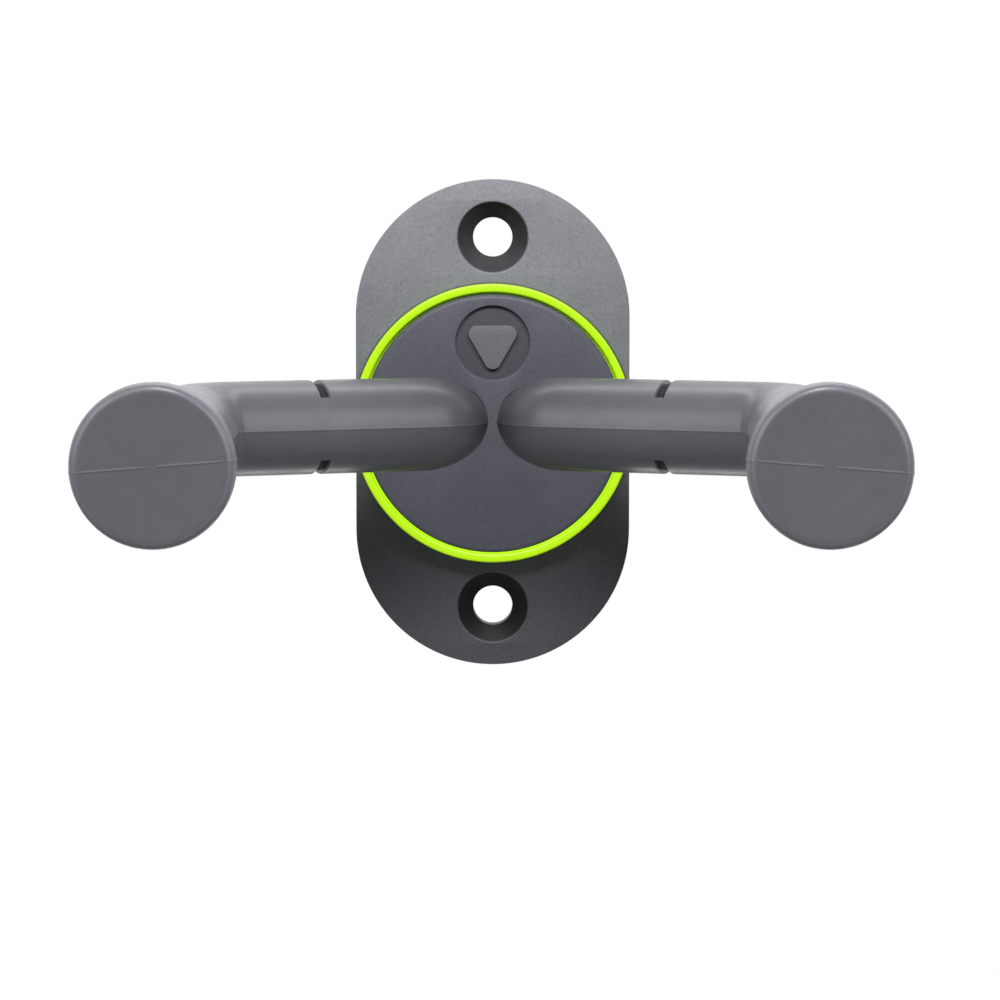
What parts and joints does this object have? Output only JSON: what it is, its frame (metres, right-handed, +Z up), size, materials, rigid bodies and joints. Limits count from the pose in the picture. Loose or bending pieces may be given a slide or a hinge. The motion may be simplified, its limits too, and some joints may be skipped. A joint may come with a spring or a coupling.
{
  "type": "wall guitar hanger",
  "caption": "Wall hanger for a guitar: an upright plate with a round hub and padded arms that swing down round the headstock.",
  "frame": {"origin": "centre of the wall plate's back face, on the wall", "axes": "+X to the right along the wall, +Y into the wall, +Z up; the arms reach out along -Y"},
  "size_m": [0.1186, 0.1114, 0.08],
  "materials": {
    "plate_grey": "fine spark-eroded texture",
    "cover_grey": "fine texture",
    "accent_green": "satin",
    "badge_grey": "satin",
    "sleeve_rubber": "satin moulded",
    "core_black": "black coated steel",
    "bush_nylon": "smooth",
    "friction_fibre": "fibre",
    "zinc_steel": "zinc plated",
    "spring_steel": "blued"
  },
  "bodies": {
    "hanger_base": {"wall_plate": "plate_grey", "accent_ring": "accent_green", "hub_cover": "cover_grey", "cover_badge": "badge_grey", "cover_screw_1": "zinc_steel", "cover_screw_2": "zinc_steel", "cover_screw_3": "zinc_steel", "cover_screw_4": "zinc_steel", "left_pivot_bush": "bush_nylon", "left_friction_washer": "friction_fibre", "left_wave_washer": "spring_steel", "right_pivot_bush": "bush_nylon", "right_friction_washer": "friction_fibre", "right_wave_washer": "spring_steel"},
    "left_arm": {"left_arm_core": "core_black", "left_arm_sleeve": "sleeve_rubber", "left_stop_washer": "zinc_steel", "left_pivot_screw": "zinc_steel"},
    "right_arm": {"right_arm_core": "core_black", "right_arm_sleeve": "sleeve_rubber", "right_stop_washer": "zinc_steel", "right_pivot_screw": "zinc_steel"}
  },
  "joints": [
    {"name": "left_arm_swing", "type": "hinge", "parent": "hanger_base", "child": "left_arm", "pos_m": [-0.0065, -0.005, 0.0006], "axis": [0, -1, 0], "range_deg": [0, 60]},
    {"name": "right_arm_swing", "type": "hinge", "parent": "hanger_base", "child": "right_arm", "pos_m": [0.0065, -0.005, 0.0006], "axis": [0, 1, 0], "range_deg": [0, 60]}
  ]
}
